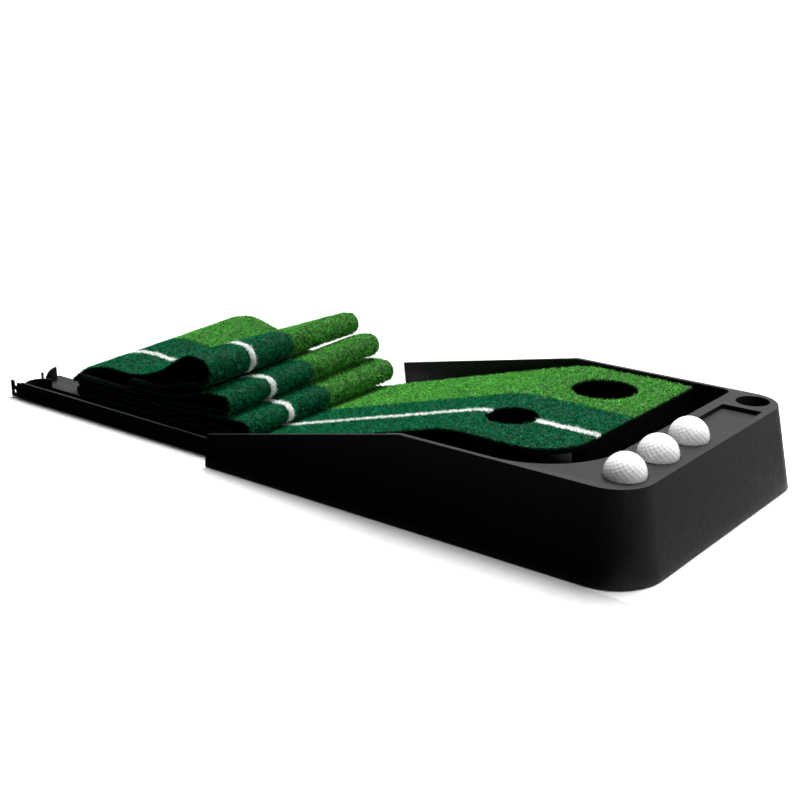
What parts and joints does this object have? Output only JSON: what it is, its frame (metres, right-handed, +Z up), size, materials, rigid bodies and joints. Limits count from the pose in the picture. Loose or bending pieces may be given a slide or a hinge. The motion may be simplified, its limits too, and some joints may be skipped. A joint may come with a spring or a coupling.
{
  "type": "practice putting mat",
  "caption": "Putting practice mat: ramped ball-return housing with a raised green and deck, two-tone turf folded over a clip-on return track, and golf balls.",
  "frame": {"origin": "the middle of the object's footprint, on the surface it stands on", "axes": "+X along the length towards the end wall with the balls, +Y towards the side away from the ball return, +Z up"},
  "size_m": [0.968, 0.385, 0.1203],
  "materials": {
    "shell_plastic": "moulded, fine grain",
    "panel_plastic": "moulded, satin",
    "screw_steel": "zinc plated",
    "foot_rubber": "matte",
    "backing_rubber": "foamed, matte",
    "hook_tape": "woven hooks",
    "dark_turf": "cut pile",
    "light_turf": "cut pile",
    "white_turf": "cut pile",
    "ball_cover": "dimpled, lacquered",
    "ball_core": "moulded"
  },
  "bodies": {
    "housing": {"housing_shell": "shell_plastic", "ramp_deck": "panel_plastic", "return_floor": "panel_plastic", "deck_screws": "screw_steel", "floor_screws": "screw_steel", "rubber_feet": "foot_rubber", "hook_strips": "hook_tape", "mat_backing": "backing_rubber", "dark_turf_edge": "dark_turf", "alignment_line": "white_turf", "dark_turf_inner": "dark_turf", "light_turf": "light_turf"},
    "track": {"track_rail": "shell_plastic", "track_pads": "foot_rubber"},
    "stop": {"ball_stop": "panel_plastic"},
    "ball_1": {"ball_cover_1": "ball_cover", "ball_core_1": "ball_core"},
    "ball_2": {"ball_cover_2": "ball_cover", "ball_core_2": "ball_core"},
    "ball_3": {"ball_cover_3": "ball_cover", "ball_core_3": "ball_core"}
  },
  "joints": [
    {"name": "track_pull_off", "type": "slide", "parent": "housing", "child": "track", "axis": [-1, 0, 0], "range_m": [0, 0.04]},
    {"name": "stop_lift_out", "type": "slide", "parent": "track", "child": "stop", "axis": [0, 0, 1], "range_m": [0, 0.03]},
    {"name": "ball_1_lift", "type": "slide", "parent": "housing", "child": "ball_1", "axis": [0, 0, 1], "range_m": [0, 0.08]},
    {"name": "ball_2_lift", "type": "slide", "parent": "housing", "child": "ball_2", "axis": [0, 0, 1], "range_m": [0, 0.08]},
    {"name": "ball_3_lift", "type": "slide", "parent": "housing", "child": "ball_3", "axis": [0, 0, 1], "range_m": [0, 0.08]}
  ]
}
